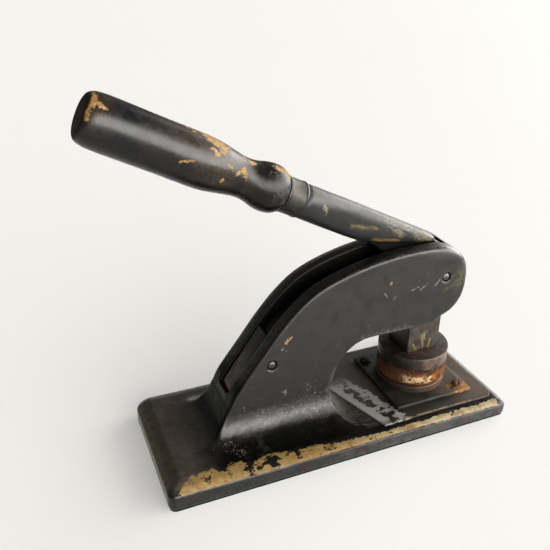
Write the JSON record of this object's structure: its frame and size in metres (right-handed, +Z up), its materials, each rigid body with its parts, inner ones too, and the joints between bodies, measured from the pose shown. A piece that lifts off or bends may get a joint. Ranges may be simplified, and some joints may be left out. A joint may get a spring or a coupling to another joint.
{
  "type": "desk embossing press",
  "caption": "Cast iron desk press with a curved slotted arm, long lever handle, square ram and round dies for embossing paper.",
  "frame": {"origin": "on the underside, under the middle of the base", "axes": "+X toward the nose of the arm and the dies, +Y across the base, +Z up"},
  "size_m": [0.2734, 0.102, 0.2446],
  "materials": {
    "japanned_iron": "black japanned casting, worn, with a worn gilt edge band",
    "baize": "dusty green baize",
    "dark_steel": "dark patinated steel",
    "dark_screw": "dark patinated steel",
    "rusty_screw": "rusted steel",
    "rusty_lining": "flaking rust and old paste",
    "pin_steel": "filed steel",
    "black_wood": "black painted turned wood, chipped to bare wood",
    "ferrule_steel": "dull steel",
    "spring_steel": "brown patinated steel"
  },
  "bodies": {
    "frame": {"frame_casting": "japanned_iron", "baize_pad": "baize", "die_plate": "dark_steel", "plate_screw_rear": "dark_screw", "plate_screw_front": "rusty_screw", "lower_die": "dark_steel", "lever_pivot_pin": "pin_steel", "spring_pin": "pin_steel", "spring_block": "spring_steel", "leaf_spring": "spring_steel"},
    "lever": {"lever": "japanned_iron", "ferrule": "ferrule_steel", "handle": "black_wood", "ram_link_pin": "pin_steel"},
    "ram": {"ram": "dark_steel", "ram_head": "dark_steel", "counter_die": "rusty_lining"}
  },
  "joints": [
    {"name": "lever_pivot", "type": "hinge", "parent": "frame", "child": "lever", "pos_m": [0.083, 0, 0.106], "axis": [0, -1, 0], "range_deg": [0, 11.4], "stiffness_Nm_per_rad": 6, "springref_deg": -8.59, "deforming": ["leaf_spring"]},
    {"name": "ram_slide", "type": "slide", "parent": "frame", "child": "ram", "axis": [0, 0, -1], "range_m": [0, 0.0019]}
  ],
  "couplings": [
    {"joint": "ram_slide", "follows": "lever_pivot", "m_per_rad": 0.0095}
  ]
}
